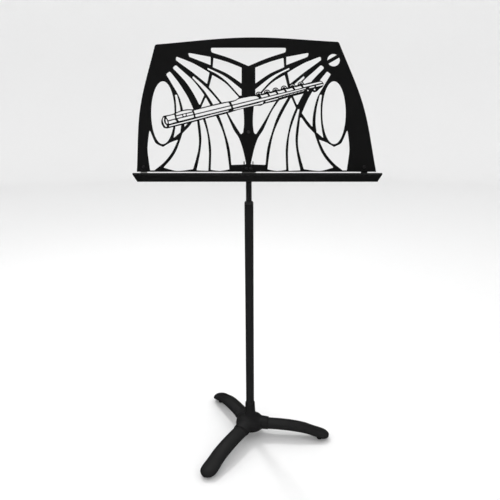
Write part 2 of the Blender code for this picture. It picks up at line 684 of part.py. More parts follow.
def make_knuckle():
    """The boss on the shaft's top, its collar pinned to the shaft."""
    boss = rod_mesh("tilt_knuckle", KNUCKLE_RADIUS, 2 * KNUCKLE_HALF, 28)
    knuckle = place(boss, "tilt_knuckle", BLACK_STEEL, (0, 0, PIVOT_HEIGHT), ALONG_X)
    neck_at = (0, 0, COLLAR_TOP + 0.005)
    collar_at = (0, 0, (COLLAR_TOP + COLLAR_BOTTOM) / 2)
    collar = rod_mesh("knuckle_collar", COLLAR_RADIUS, COLLAR_TOP - COLLAR_BOTTOM, 24)
    combine(knuckle, place(box_mesh("knuckle_neck", NECK_SIZE), "knuckle_neck", None, neck_at), "UNION")
    combine(knuckle, place(collar, "knuckle_collar", None, collar_at), "UNION")
    cross_bore = rod_mesh("knuckle_bore", PIVOT_BOLT_RADIUS + GAP, 0.04)
    socket = rod_mesh("shaft_socket", SHAFT_RADIUS + GAP, 0.016, 24)
    pin_bore = rod_mesh("pin_bore", HEAD_PIN_RADIUS + GAP, 0.04, 12)
    for cutter, where, turn in (
        (cross_bore, (0, 0, PIVOT_HEIGHT), ALONG_X),
        (socket, (0, 0, SHAFT_TOP + GAP - 0.008), (0, 0, 0)),
        (pin_bore, (0, 0, HEAD_PIN_HEIGHT), STAND_UP),
    ):
        combine(knuckle, place(cutter, cutter.name, None, where, turn), "DIFFERENCE")
    pin = rod_mesh("head_pin", HEAD_PIN_RADIUS, HEAD_PIN_LENGTH, 12)
    place(pin, "head_pin", BRIGHT_STEEL, (0, 0, HEAD_PIN_HEIGHT), STAND_UP)


def make_pivot_fixings():
    """The bolt, nut and washers that clamp the ears to the knuckle."""
    washer_at = KNUCKLE_HALF + GAP + WASHER_THICKNESS / 2
    hole = circle(0, 0, PIVOT_HOLE)
    for side, sign in (("left", -1), ("right", 1)):
        name = "friction_washer_" + side
        ring = plate_mesh(name, [circle(0, 0, WASHER_RADIUS, 20), hole], WASHER_THICKNESS)
        place(ring, name, BLACK_NYLON, (sign * washer_at, 0, 0), ALONG_X, TILT)
    outside = KNUCKLE_HALF + WASHER_THICKNESS + 3 * GAP + EAR_SHEET
    spring = plate_mesh("spring_washer", [circle(0, 0, SPRING_RADIUS, 20), hole], SPRING_THICKNESS)
    place(spring, "spring_washer", BRIGHT_STEEL, (outside + SPRING_THICKNESS / 2, 0, 0), ALONG_X, TILT)
    nut_at = outside + SPRING_THICKNESS + GAP
    nut = plate_mesh("tilt_nut", [circle(0, 0, NUT_RADIUS, 6), hole], NUT_THICKNESS)
    place(nut, "tilt_nut", BRIGHT_STEEL, (nut_at + NUT_THICKNESS / 2, 0, 0), ALONG_X, TILT)
    chamfer = 0.0008
    tip = -(outside + nut_at + NUT_THICKNESS + 0.0012)
    bolt = [
        (0.0, PIVOT_HEAD_HEIGHT), (PIVOT_HEAD_RADIUS - chamfer, PIVOT_HEAD_HEIGHT),
        (PIVOT_HEAD_RADIUS, PIVOT_HEAD_HEIGHT - chamfer), (PIVOT_HEAD_RADIUS, 0.0),
        (PIVOT_BOLT_RADIUS, 0.0),
        (PIVOT_BOLT_RADIUS, tip + chamfer), (PIVOT_BOLT_RADIUS - chamfer, tip), (0.0, tip),
    ]
    turned("tilt_bolt", bolt, 20, BRIGHT_STEEL, (-outside, 0, 0), (0, -pi / 2, 0), TILT)


def make_shaft():
    """The inner shaft: its necked tail turns in the tail bush, which a clip holds on."""
    neck_top = SHAFT_BOTTOM + TAIL_BUSH_LENGTH + TAIL_CLIP_HEIGHT + TAIL_NECK_SPARE
    groove = SHAFT_BOTTOM + TAIL_CLIP_HEIGHT
    groove_low = groove - TAIL_GROOVE_WIDTH
    profile = [
        (0.0, SHAFT_TOP), (SHAFT_RADIUS - SHAFT_CHAMFER, SHAFT_TOP),
        (SHAFT_RADIUS, SHAFT_TOP - SHAFT_CHAMFER),
        (SHAFT_RADIUS, neck_top), (TAIL_NECK_RADIUS, neck_top),
        (TAIL_NECK_RADIUS, groove), (TAIL_GROOVE_RADIUS, groove), (TAIL_GROOVE_RADIUS, groove_low),
        (TAIL_NECK_RADIUS, groove_low), (TAIL_NECK_RADIUS, SHAFT_BOTTOM), (0.0, SHAFT_BOTTOM),
    ]
    shaft = turned("inner_shaft", profile, 20, BLACK_STEEL)
    combine(shaft, bpy.data.objects["pin_bore"], "DIFFERENCE")
    low = groove + GAP
    high = neck_top - GAP
    edge = TAIL_BUSH_CHAMFER
    bush = [
        (TAIL_BUSH_RADIUS - edge, high), (TAIL_BUSH_RADIUS, high - edge), (TAIL_BUSH_RADIUS, low + edge),
        (TAIL_BUSH_RADIUS - edge, low), (TAIL_NECK_RADIUS + GAP, low), (TAIL_NECK_RADIUS + GAP, high),
    ]
    turned("tail_bush", bush, 20, BLACK_NYLON)
    clip_top = groove - GAP
    clip_low = groove_low + GAP
    bore = TAIL_GROOVE_RADIUS + GAP
    clip = [(TAIL_CLIP_RADIUS, clip_top), (TAIL_CLIP_RADIUS, clip_low), (bore, clip_low), (bore, clip_top)]
    turned("tail_clip", clip, 16, BRIGHT_STEEL)


def make_tube():
    """The outer tube with its foot plug."""
    tube = [
        (TUBE_BORE, TUBE_TOP), (TUBE_RADIUS, TUBE_TOP), (TUBE_RADIUS, TUBE_BOTTOM),
        (TUBE_BORE, TUBE_BOTTOM),
    ]
    turned("outer_tube", tube, 28, BLACK_COAT)
    inside = TUBE_BORE - GAP
    bore = BASE_BOLT_RADIUS + GAP
    plug = [(inside, PLUG_TOP), (inside, TUBE_BOTTOM), (bore, TUBE_BOTTOM), (bore, PLUG_TOP)]
    turned("tube_plug", plug, 20, BLACK_STEEL)


def make_clutch():
    """The clutch that grips the shaft at the tube's top: cap, ring and sleeve."""
    inside = TUBE_BORE - GAP
    lug = SHAFT_RADIUS + GAP
    seat = TUBE_TOP + GAP
    ring_top = SLEEVE_TOP + CLUTCH_RING
    cap_low = ring_top + GAP
    cap = [
        (lug + GAP, CLUTCH_TOP), (CLUTCH_MOUTH, CLUTCH_TOP), (TUBE_RADIUS, CLUTCH_TOP - CLUTCH_SHOULDER),
        (TUBE_RADIUS, seat), (inside, seat), (inside, cap_low), (lug, cap_low), (lug, CLUTCH_TOP - 2 * GAP),
    ]
    turned("clutch_cap", cap, 24, BLACK_NYLON)
    ring_low = SLEEVE_TOP + GAP
    ring = [(inside, ring_top), (inside, ring_low), (lug, ring_low), (lug, ring_top)]
    turned("clutch_ring", ring, 20, BLACK_RUBBER)
    sleeve = [(inside, SLEEVE_TOP), (inside, SLEEVE_BOTTOM), (lug, SLEEVE_BOTTOM), (lug, SLEEVE_TOP)]
    turned("clutch_sleeve", sleeve, 20, BLACK_NYLON)


def oval_bar(name, stations, sides=16):
    """A bar of oval sections along +X, each a (reach, height, half width, half thickness)."""
    form = bmesh.new()
    rings = []
    for reach, height, half_width, half_thickness in stations:
        turns = [2 * pi * k / sides for k in range(sides)]
        ring = [form.verts.new((reach, half_width * cos(a), height + half_thickness * sin(a))) for a in turns]
        rings.append(ring)
    for ring, following in zip(rings, rings[1:]):
        for k in range(sides):
            form.faces.new((ring[k - 1], ring[k], following[k], following[k - 1]))
    form.faces.new(rings[0])
    form.faces.new(rings[-1])
    bmesh.ops.recalc_face_normals(form, faces=form.faces)
    mesh = bpy.data.meshes.new(name)
    form.to_mesh(mesh)
    form.free()
    mesh.shade_smooth()
    mesh.set_sharp_from_angle(angle=radians(35))
    return mesh


def straight_bar(name, start, end, spare):
    """A straight stretch of the leg's root section, this much larger all round."""
    half_width = LEG_WIDTH / 2 + spare
    half_thickness = ROOT_THICKNESS / 2 + spare
    return oval_bar(name, [(reach, LEG_HEIGHT, half_width, half_thickness) for reach in (start, end)])


def make_hub():
    """The cast hub: three sleeves for the legs, a neck for the tube and a recess for the bolt below."""
    hub = turned("base_hub", [(0.0, HUB_TOP)] + HUB_SIDE + [(0.0, HUB_BOTTOM)], 28, BLACK_COAT)
    for side, angle in LEG_ANGLES.items():
        sleeve = straight_bar("sleeve_" + side, 0.004, SOCKET_REACH, SOCKET_WALL)
        arm = place(sleeve, "sleeve_" + side, rotation=(0, 0, radians(angle)))
        combine(hub, arm, "UNION")
    for side, angle in LEG_ANGLES.items():
        space = straight_bar("pocket_" + side, LEG_ROOT - GAP, SOCKET_REACH + SOCKET_SPARE, 1.2 * GAP)
        pocket = place(space, "pocket_" + side, rotation=(0, 0, radians(angle)))
        combine(hub, pocket, "DIFFERENCE")
        drill = rod_mesh("drill_" + side, LEG_SCREW_RADIUS + GAP, 0.03, 16)
        combine(hub, place(drill, drill.name, None, turned_point(LEG_SCREW_AT, angle, 0.018)), "DIFFERENCE")
    tube_socket = rod_mesh("tube_socket", TUBE_RADIUS + GAP, 0.06, 32)
    recess = rod_mesh("hub_recess", HUB_RECESS_RADIUS, 0.02, 32)
    through = rod_mesh("hub_bolt_bore", BASE_BOLT_RADIUS + GAP, 0.06, 20)
    cutters = ((tube_socket, TUBE_BOTTOM - GAP + 0.03), (recess, HUB_FLOOR - 0.01), (through, 0.05))
    for cutter, height in cutters:
        combine(hub, place(cutter, cutter.name, None, (0, 0, height)), "DIFFERENCE")


def make_leg(side, angle):
    """A leg with its screw from below, and the rubber glide let into its underside."""
    stations = [(r, z, share * LEG_WIDTH / 2, thick / 2) for r, z, share, thick in LEG_LINE]
    leg = place(oval_bar("leg_" + side, stations), "leg_" + side, BLACK_COAT, rotation=(0, 0, radians(angle)))
    screw_at = turned_point(LEG_SCREW_AT, angle, 0.027)
    glide_at = turned_point(GLIDE_REACH, angle, 0)
    screw_bore = rod_mesh("bore_" + side, LEG_SCREW_RADIUS + GAP, 0.024, 16)
    seat = rod_mesh("seat_" + side, GLIDE_RADIUS + GAP, 0.02, 24)
    stem_bore = rod_mesh("stem_bore_" + side, GLIDE_STEM + GAP, 0.02, 16)
    for cutter, where in (
        (screw_bore, screw_at),
        (seat, (*glide_at[:2], GLIDE_SEAT - 0.01)),
        (stem_bore, (*glide_at[:2], GLIDE_SEAT + GLIDE_STEM_LENGTH + GAP - 0.01)),
    ):
        combine(leg, place(cutter, cutter.name, None, where), "DIFFERENCE")
    edge = 0.0012
    stem_top = GLIDE_SEAT + GLIDE_STEM_LENGTH
    glide = [
        (0.0, stem_top), (GLIDE_STEM, stem_top), (GLIDE_STEM, GLIDE_SEAT - GAP),
        (GLIDE_RADIUS, GLIDE_SEAT - GAP),
        (GLIDE_RADIUS, edge), (GLIDE_RADIUS - edge, 0.0), (0.0, 0.0),
    ]
    turned("foot_glide_" + side, glide, 18, BLACK_RUBBER, glide_at)
    seat_height = LEG_SCREW_SEAT
    bottom = seat_height - LEG_SCREW_HEAD
    screw = [
        (0.0, LEG_SCREW_TOP), (LEG_SCREW_RADIUS, LEG_SCREW_TOP), (LEG_SCREW_RADIUS, seat_height),
        (LEG_SCREW_HEAD_RADIUS, seat_height), (LEG_SCREW_HEAD_RADIUS, bottom + 0.001),
        (LEG_SCREW_HEAD_RADIUS - 0.001, bottom), (0.0, bottom),
    ]
    turned("leg_screw_" + side, screw, 12, BRIGHT_STEEL, turned_point(LEG_SCREW_AT, angle, 0))


def make_base_bolt():
    """The bolt that draws the tube's plug down into the hub, with its washer."""
    washer = plate_mesh("base_washer", [circle(0, 0, 11, 24), circle(0, 0, 4.4, 20)], BASE_WASHER_THICKNESS)
    place(washer, "base_washer", BRIGHT_STEEL, (0, 0, HUB_FLOOR - GAP - BASE_WASHER_THICKNESS / 2))
    head_top = HUB_FLOOR - 2 * GAP - BASE_WASHER_THICKNESS
    head_low = head_top - BASE_BOLT_HEAD
    edge = 0.0008
    bolt = [
        (0.0, BASE_BOLT_TOP), (BASE_BOLT_RADIUS - edge, BASE_BOLT_TOP),
        (BASE_BOLT_RADIUS, BASE_BOLT_TOP - edge),
        (BASE_BOLT_RADIUS, head_top), (BASE_BOLT_HEAD_RADIUS, head_top),
        (BASE_BOLT_HEAD_RADIUS, head_low + edge),
        (BASE_BOLT_HEAD_RADIUS - edge, head_low), (0.0, head_low),
    ]
    turned("base_bolt", bolt, 20, BRIGHT_STEEL)


make_hub()
for leg_side, leg_angle in LEG_ANGLES.items():
    make_leg(leg_side, leg_angle)
make_base_bolt()
make_tube()
make_clutch()
make_knuckle()
make_pivot_fixings()
make_shaft()
make_tilt_bracket()
make_ledge_tray()
make_desk_panel()
for strap_side in STRAP_U:
    make_strap(strap_side)
make_rivets()
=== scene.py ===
"""Looks of the music stand: fine sheet metal, cast hub, pressed legs and their black finishes."""

import json
from math import atan2, ceil, cos, pi, radians, sin

import bmesh
import bpy
from mathutils import Matrix, Vector


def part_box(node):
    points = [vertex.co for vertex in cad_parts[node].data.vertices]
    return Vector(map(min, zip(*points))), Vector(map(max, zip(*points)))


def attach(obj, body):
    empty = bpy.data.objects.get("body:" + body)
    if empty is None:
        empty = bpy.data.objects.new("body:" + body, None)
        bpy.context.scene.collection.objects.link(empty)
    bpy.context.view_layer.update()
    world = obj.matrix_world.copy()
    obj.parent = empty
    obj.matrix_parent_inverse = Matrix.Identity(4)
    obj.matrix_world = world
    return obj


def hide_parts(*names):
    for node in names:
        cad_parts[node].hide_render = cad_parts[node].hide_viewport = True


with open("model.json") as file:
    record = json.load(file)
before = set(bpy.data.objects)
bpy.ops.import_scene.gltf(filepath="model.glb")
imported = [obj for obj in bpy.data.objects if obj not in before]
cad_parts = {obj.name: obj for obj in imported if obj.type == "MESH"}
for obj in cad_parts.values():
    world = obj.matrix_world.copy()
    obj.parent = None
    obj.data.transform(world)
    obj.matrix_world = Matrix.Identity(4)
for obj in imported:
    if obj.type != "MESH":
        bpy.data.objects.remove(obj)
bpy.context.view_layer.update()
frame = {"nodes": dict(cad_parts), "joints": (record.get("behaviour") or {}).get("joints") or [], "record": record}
JOINTS = {joint["name"]: joint for joint in frame["joints"]}

COLLECTION = bpy.context.scene.collection

# ---------------------------------------------------------------- finishes

# Places of the colour sockets on a Mix node, which share their names with its other sockets.
MIX_COLOUR_A = 6
MIX_COLOUR_B = 7
MIX_COLOUR_RESULT = 2


class Signal:
    """A node's output; arithmetic on it adds Math nodes to its finish."""

    def __init__(self, finish, socket):
        self.finish = finish
        self.socket = socket

    def math(self, operation, *terms):
        return self.finish.add("ShaderNodeMath", {"operation": operation}, dict(enumerate(terms)))

    def __add__(self, other):
        return self.math("ADD", self, other)

    __radd__ = __add__

    def __mul__(self, other):
        return self.math("MULTIPLY", self, other)

    __rmul__ = __mul__

    def above(self, level, softness):
        """0 below the level, 1 above it, with a soft step."""
        return self.finish.add(
            "ShaderNodeMapRange",
            {"interpolation_type": "SMOOTHSTEP"},
            {"Value": self, "From Min": level - softness, "From Max": level + softness},
        )


class Finish:
    """A material built from nodes."""

    def __init__(self, name):
        self.material = bpy.data.materials.new(name)
        self.material.use_nodes = True
        self.tree = self.material.node_tree
        self.shader = self.tree.nodes["Principled BSDF"]
        self.place = self.add("ShaderNodeTexCoord", {}, {}, "Object")

    def feed(self, socket, value):
        if isinstance(value, Signal):
            self.tree.links.new(value.socket, socket)
        elif isinstance(value, tuple) and len(value) == 3 and socket.type == "RGBA":
            socket.default_value = (*value, 1.0)
        else:
            socket.default_value = value

    def add(self, kind, settings, inputs, output=0):
        node = self.tree.nodes.new(kind)
        for key, value in settings.items():
            setattr(node, key, value)
        for key, value in inputs.items():
            self.feed(node.inputs[key], value)
        return Signal(self, node.outputs[output])

    def noise(self, scale, detail=2.0, roughness=0.5, where=None, distortion=0.0):
        return self.add(
            "ShaderNodeTexNoise",
            {},
            {
                "Vector": where or self.place, "Scale": scale, "Detail": detail,
                "Roughness": roughness, "Distortion": distortion,
            },
        )

    def stretched(self, x, y, z):
        """The object's coordinates scaled on each axis, for marks that run one way."""
        settings = {"vector_type": "POINT"}
        return self.add("ShaderNodeMapping", settings, {"Vector": self.place, "Scale": (x, y, z)})

    def mix(self, mask, low, high):
        """From the low colour to the high one; the low one may be an earlier mix."""
        start = (*low, 1.0) if isinstance(low, tuple) else low
        inputs = {"Factor": mask, MIX_COLOUR_A: start, MIX_COLOUR_B: (*high, 1.0)}
        return self.add("ShaderNodeMix", {"data_type": "RGBA"}, inputs, MIX_COLOUR_RESULT)

    def facing_up(self):
        """How far the surface faces up, from 0 to 1."""
        normal = self.add("ShaderNodeNewGeometry", {}, {}, "Normal")
        parts = self.add("ShaderNodeSeparateXYZ", {}, {"Vector": normal}, "Z")
        return parts.above(0.75, 0.25)

    def bump(self, height, distance, strength=1.0):
        return self.add("ShaderNodeBump", {}, {"Height": height, "Distance": distance, "Strength": strength})

    def done(self, **sockets):
        names = {"colour": "Base Color", "roughness": "Roughness", "metallic": "Metallic", "normal": "Normal"}
        for key, value in sockets.items():
            self.feed(self.shader.inputs[names.get(key, key)], value)
        return self.material


def powder_coat(name, dark, light, gloss, shine):
    """Baked powder: fine grain, slow orange peel, a trace of dust where it faces up."""
    finish = Finish(name)
    grain = finish.noise(2600, 2.0, 0.6)
    peel = finish.noise(420, 1.0, 0.4)
    cloud = finish.noise(14, 4.0, 0.6)
    speck = finish.noise(1500, 1.0, 0.5).above(0.70, 0.05)
    dust = finish.facing_up() * finish.noise(60, 5.0, 0.7).above(0.55, 0.2)
    colour = finish.mix(cloud, dark, light)
    colour = finish.mix(speck * 0.12 + dust * 0.02, colour, (0.05, 0.05, 0.051))
    rough = gloss + grain * 0.10 + cloud * 0.08 + dust * 0.08
    return finish.done(
        colour=colour,
        roughness=rough,
        normal=finish.bump(grain * 0.35 + peel * 0.65, 0.00010, 0.6),
        **{"Specular IOR Level": shine},
    )


def black_oxide(name):
    """Chemically blackened steel, with brush marks under the black and brown-grey rubbing."""
    finish = Finish(name)
    brushed = finish.noise(900, 3.0, 0.6, finish.stretched(1.0, 0.12, 1.0))
    cloud = finish.noise(45, 4.0, 0.65)
    rubbed = finish.noise(220, 4.0, 0.7).above(0.66, 0.06)
    colour = finish.mix(cloud, (0.028, 0.028, 0.029), (0.044, 0.043, 0.043))
    colour = finish.mix(rubbed * 0.3, colour, (0.07, 0.068, 0.065))
    return finish.done(
        colour=colour,
        metallic=0.45,
        roughness=0.34 + brushed * 0.18 + rubbed * 0.08,
        normal=finish.bump(brushed + rubbed * 0.2, 0.00003, 0.6),
    )


def moulded_nylon(name):
    """Glass-filled nylon: fine matt spark-eroded texture."""
    finish = Finish(name)
    cells = {"Vector": finish.place, "Scale": 1500, "Randomness": 1.0}
    pits = finish.add("ShaderNodeTexVoronoi", {"feature": "F1"}, cells, "Distance")
    cloud = finish.noise(90, 3.0, 0.6)
    colour = finish.mix(cloud, (0.020, 0.020, 0.020), (0.034, 0.034, 0.034))
    return finish.done(
        colour=colour,
        roughness=0.48 + pits * 0.12 + cloud * 0.08,
        normal=finish.bump(pits, 0.00006, 0.5),
    )


def moulded_rubber(name):
    """Matt rubber with fine grain and a bloom of floor dust."""
    finish = Finish(name)
    grain = finish.noise(1800, 3.0, 0.7)
    bloom = finish.noise(130, 5.0, 0.7).above(0.55, 0.18)
    colour = finish.mix(bloom * 0.5, (0.011, 0.011, 0.011), (0.045, 0.044, 0.042))
    return finish.done(
        colour=colour,
        roughness=0.72 + bloom * 0.15,
        normal=finish.bump(grain, 0.00009, 0.6),
    )


def zinc_plate(name):
    """Bright zinc on turned fasteners: fine turning marks and cloudy passivation."""
    finish = Finish(name)
    turned = finish.noise(2400, 2.0, 0.5, finish.stretched(0.15, 0.15, 1.0))
    cloud = finish.noise(160, 4.0, 0.6)
    colour = finish.mix(cloud, (0.42, 0.42, 0.41), (0.62, 0.62, 0.60))
    return finish.done(
        colour=colour,
        metallic=1.0,
        roughness=0.24 + turned * 0.16 + cloud * 0.1,
        normal=finish.bump(turned, 0.00002, 0.5),
    )


DESK_COAT = powder_coat("desk powder coat", (0.0065, 0.0065, 0.0066), (0.0092, 0.0092, 0.0094), 0.50, 0.12)
# The ledge wears the desk's powder coat painted lighter: painted light that makes up for the shade on its
# underside.
LEDGE_COAT_PAINTED_LIGHTER = powder_coat("ledge powder coat with painted light", (0.0125, 0.0125, 0.0127), (0.0170, 0.0170, 0.0173), 0.50, 0.16)
POLE_COAT = powder_coat("pole powder coat", (0.0135, 0.0135, 0.0138), (0.0185, 0.0185, 0.0188), 0.46, 0.20)
BASE_COAT = powder_coat("base powder coat", (0.0130, 0.0130, 0.0133), (0.0175, 0.0175, 0.0179), 0.46, 0.20)
OXIDE = black_oxide("blackened steel")
NYLON = moulded_nylon("glass-filled nylon")
RUBBER = moulded_rubber("glide rubber")
ZINC = zinc_plate("zinc plate")
SLOT_FINISH = {
    "black_powder_coat": POLE_COAT,
    "blackened_steel": OXIDE,
    "black_nylon": NYLON,
    "black_rubber": RUBBER,
    "plated_steel": ZINC,
}

# ---------------------------------------------------------------- shop tools


def made(mesh, name, body, slot, finish, *stands_for):
    """A finished piece riding on its body, in place of CAD nodes."""
    piece = bpy.data.objects.new(name, mesh)
    COLLECTION.objects.link(piece)
    mesh.materials.clear()
    mesh.materials.append(finish)
    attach(piece, body)
    if stands_for:
        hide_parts(*stands_for)
    return piece


def smooth(mesh, angle=35):
    """Smooth shading that stays sharp where the faces meet at more than this angle."""
    for face in mesh.polygons:
        face.use_smooth = True
    mesh.set_sharp_from_angle(angle=radians(angle))
    return mesh


def mesh_from(form, name):
    """The form as a clean mesh, with its faces turned outwards."""
    bmesh.ops.remove_doubles(form, verts=form.verts, dist=1e-6)
    bmesh.ops.recalc_face_normals(form, faces=form.faces)
    mesh = bpy.data.meshes.new(name)
    form.to_mesh(mesh)
    form.free()
    return mesh


def corners(node):
    """The node's lowest and highest corners."""
    return [Vector(corner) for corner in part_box(node)]


def centre(node):
    """The middle of the node and half its size."""
    low, high = corners(node)
    return (low + high) / 2, (high - low) / 2


POLE_X = centre("outer_tube")[0].x


def full_turn(form, at, steps):
    """Everything in the form turned once round a vertical axis here."""
    bmesh.ops.spin(
        form, geom=form.verts[:] + form.edges[:], cent=(*at, 0), axis=(0, 0, 1), angle=2 * pi,
        steps=steps, use_merge=True,
    )


def lathe(name, profile, steps=96, at=(0.0, 0.0)):
    """A closed ring profile of (radius, height), or one that starts and ends on the axis, turned about Z."""
    form = bmesh.new()
    points = [form.verts.new((at[0] + radius, at[1], height)) for radius, height in profile]
    ring = list(zip(points, points[1:]))
    if profile[0][0] > 0:
        ring.append((points[-1], points[0]))
    for start, end in ring:
        form.edges.new((start, end))
    full_turn(form, at, steps)
    return smooth(mesh_from(form, name))


def eased(profile, radius, steps=4):
    """The profile with each corner rounded to this radius where there's room."""
    closed = profile[0][0] > 0
    points = [Vector(p) for p in profile]
    out = []
    for k, here in enumerate(points):
        if not closed and k in (0, len(points) - 1):
            out.append(tuple(here))
            continue
        before = points[k - 1]
        after = points[(k + 1) % len(points)]
        cut = min(radius, (before - here).length * 0.45, (after - here).length * 0.45)
        start = here + (before - here).normalized() * cut
        end = here + (after - here).normalized() * cut
        for step in range(steps + 1):
            t = step / steps
            out.append(tuple(start.lerp(here, t).lerp(here.lerp(end, t), t)))
    return out


def hexagon(angle, flats):
    """The reach of a hexagon this far across its flats, at an angle."""
    return flats / 2 / cos((angle + pi / 6) % (pi / 3) - pi / 6)


def loft(name, rings, capped=True, sharp=35):
    """A skin over rings of as many points each; a mesh closed at both ends, or on itself."""
    form = bmesh.new()
    skins = [[form.verts.new(p) for p in ring] for ring in rings]
    pairs = list(zip(skins, skins[1:]))
    if not capped:
        pairs.append((skins[-1], skins[0]))
    for low, high in pairs:
        for k in range(len(low)):
            form.faces.new((low[k - 1], low[k], high[k], high[k - 1]))
    if capped:
        form.faces.new(skins[0][::-1])
        form.faces.new(skins[-1])
    return smooth(mesh_from(form, name), sharp)


def applied(mesh, name, *modifiers):
    """The mesh with these modifiers, each a type and its settings, made permanent."""
    holder = bpy.data.objects.new(name + "_blank", mesh)
    COLLECTION.objects.link(holder)
    for kind, settings in modifiers:
        modifier = holder.modifiers.new(kind.lower(), kind)
        for key, value in settings.items():
            setattr(modifier, key, value)
    graph = bpy.context.evaluated_depsgraph_get()
    result = bpy.data.meshes.new_from_object(holder.evaluated_get(graph))
    result.name = name
    bpy.data.objects.remove(holder, do_unlink=True)
    return result


def joined(name, *meshes):
    """One mesh of all these."""
    form = bmesh.new()
    for mesh in meshes:
        form.from_mesh(mesh)
    whole = bpy.data.meshes.new(name)
    form.to_mesh(whole)
    form.free()
    return whole


def cast(name, grain, passes, *meshes):
    """Overlapping solids run together into one casting, with soft fillets where they meet."""
    return smooth(
        applied(
            joined(name + "_parts", *meshes),
            name,
            ("REMESH", {"mode": "VOXEL", "voxel_size": grain, "use_smooth_shade": True}),
            ("SMOOTH", {"factor": 0.5, "iterations": passes}),
        ),
        80,
    )


def plate(name, outlines, thickness, edge):
    """A flat sheet in XY, centred on Z = 0, with its edges rounded; outlines inside another are openings."""
    curve = bpy.data.curves.new(name, "CURVE")
    curve.dimensions = "2D"
    curve.fill_mode = "BOTH"
    curve.bevel_depth = edge
    curve.bevel_resolution = 2
    curve.offset = -edge
    curve.extrude = thickness / 2 - edge
    for points in outlines:
        spline = curve.splines.new("POLY")
        spline.points.add(len(points) - 1)
        for knot, (x, y) in zip(spline.points, points):
            knot.co = (x, y, 0, 1)
        spline.use_cyclic_u = True
    holder = bpy.data.objects.new(name, curve)
    COLLECTION.objects.link(holder)
    graph = bpy.context.evaluated_depsgraph_get()
    rough = bpy.data.meshes.new_from_object(holder.evaluated_get(graph))
    bpy.data.objects.remove(holder, do_unlink=True)
    form = bmesh.new()
    form.from_mesh(rough)
    mesh = mesh_from(form, name)
    for face in mesh.polygons:
        face.use_smooth = abs(face.normal.z) < 0.98
    return mesh


# ---------------------------------------------------------------- the desk's own directions

PIVOT = Vector(JOINTS["desk_tilt"]["pos_m"])
DESK_FACE = next(mount for mount in frame["record"]["mounts"] if mount["name"] == "desk_face")
RECLINE = atan2(DESK_FACE["axis"][2], -DESK_FACE["axis"][1])
DESK = Matrix.Translation(PIVOT) @ Matrix.Rotation(-RECLINE, 4, "X")
FACE_ON = Matrix.Rotation(pi / 2, 4, "X")
ALONG_X = Matrix.Rotation(pi / 2, 4, "Y")


def desk_points(node):
    """The node's corners in the desk's own directions."""
    back = DESK.inverted()
    return [back @ v.co for v in frame["nodes"][node].data.vertices]


def desk_box(node):
    """The node's lowest and highest corner in the desk's own directions: across, back and up."""
    points = desk_points(node)
    low = Vector([min(p[k] for p in points) for k in range(3)])
    high = Vector([max(p[k] for p in points) for k in range(3)])
    return low, high


def front_outlines(node):
    """The outlines of a flat node's front face, in the desk's plane: across and up."""
    points = desk_points(node)
    front = min(p.y for p in points)
    spot = [(round(p.x, 6), round(p.z, 6)) for p in points]
    ahead = {}
    for face in frame["nodes"][node].data.polygons:
        if all(points[v].y < front + 1e-5 for v in face.vertices):
            corners = [spot[v] for v in face.vertices]
            for start, end in zip(corners, corners[1:] + corners[:1]):
                if start != end:
                    ahead[(start, end)] = True
    rim = {}
    for start, end in ahead:
        if (end, start) not in ahead:
            rim.setdefault(start, []).append(end)
    loops = []
    while rim:
        here = next(iter(rim))
        loop = []
        while here in rim:
            loop.append(Vector(here))
            onward = rim[here].pop()
            if not rim[here]:
                del rim[here]
            here = onward
        if len(loop) > 2:
            loops.append(loop)
    return loops


def fair(loop, corner=radians(42), nick=0.00015, round_off=0.0006, steps=5):
    """A faceted outline made fair: a smooth line through its points, each true corner eased a little."""
    kept = []
    for point in loop:
        if not kept or (point - kept[-1]).length > nick:
            kept.append(point)
    if (kept[0] - kept[-1]).length < nick:
        kept.pop()
    count = len(kept)
    sides = [(kept[(k + 1) % count] - kept[k]) for k in range(count)]
    lengths = [side.length for side in sides]
    turns = [sides[k - 1].angle(sides[k]) for k in range(count)]
    tangents = []
    for k in range(count):
        aim = sides[k - 1].normalized() * lengths[k - 1] ** 2 + sides[k].normalized() * lengths[k] ** 2
        tangents.append(aim.normalized() if aim.length > 0 else sides[k].normalized())
    out = []
    for k in range(count):
        ahead = (k + 1) % count
        start, end, length = kept[k], kept[ahead], lengths[k]
        leave = sides[k].normalized() if turns[k] > corner else tangents[k]
        arrive = sides[k].normalized() if turns[ahead] > corner else tangents[ahead]
        trim = min(round_off, length * 0.35)
        if turns[k] > corner:
            before = min(round_off, lengths[k - 1] * 0.35)
            first = start - sides[k - 1].normalized() * before
            last = start + sides[k].normalized() * trim
            out.extend(curved(first, start, last, steps))
            start = last
        if turns[ahead] > corner:
            end = end - sides[k].normalized() * trim
        reach = (end - start).length / 3
        bend = leave.angle(arrive)
        pieces = max(1, ceil(bend / radians(4)), ceil(reach * 3 / 0.02) if bend > radians(0.5) else 1)
        for piece in range(pieces):
            t = piece / pieces
            out.append(
                start * (1 - t) ** 3 + (start + leave * reach) * 3 * t * (1 - t) ** 2
                + (end - arrive * reach) * 3 * t * t * (1 - t) + end * t ** 3
            )
        if turns[ahead] > corner:
            out.append(end)
    tidy = []
    for point in out:
        if not tidy or (point - tidy[-1]).length > 4e-5:
            tidy.append(point)
    return tidy


def curved(first, middle, last, steps):
    """The points between the ends of a soft corner."""
    run = []
    for step in range(1, steps):
        t = step / steps
        run.append(first.lerp(middle, t).lerp(middle.lerp(last, t), t))
    return run


def on_desk(mesh, front, matrix=FACE_ON):
    """A mesh made in XY, stood in the desk's plane this far along its back direction."""
    mesh.transform(DESK @ Matrix.Translation((0, front, 0)) @ matrix)
    return mesh


# ---------------------------------------------------------------- desk, ledge and their fixings

EDGE = 0.0004
BEND_RADIUS = 0.0012
RIVET_RIM = 0.0003
RIVET_RISE = 0.0012
RIVET_STEM = 0.55
RIVET_UPSET = 0.0008
SHEET_EDGE = 0.00035


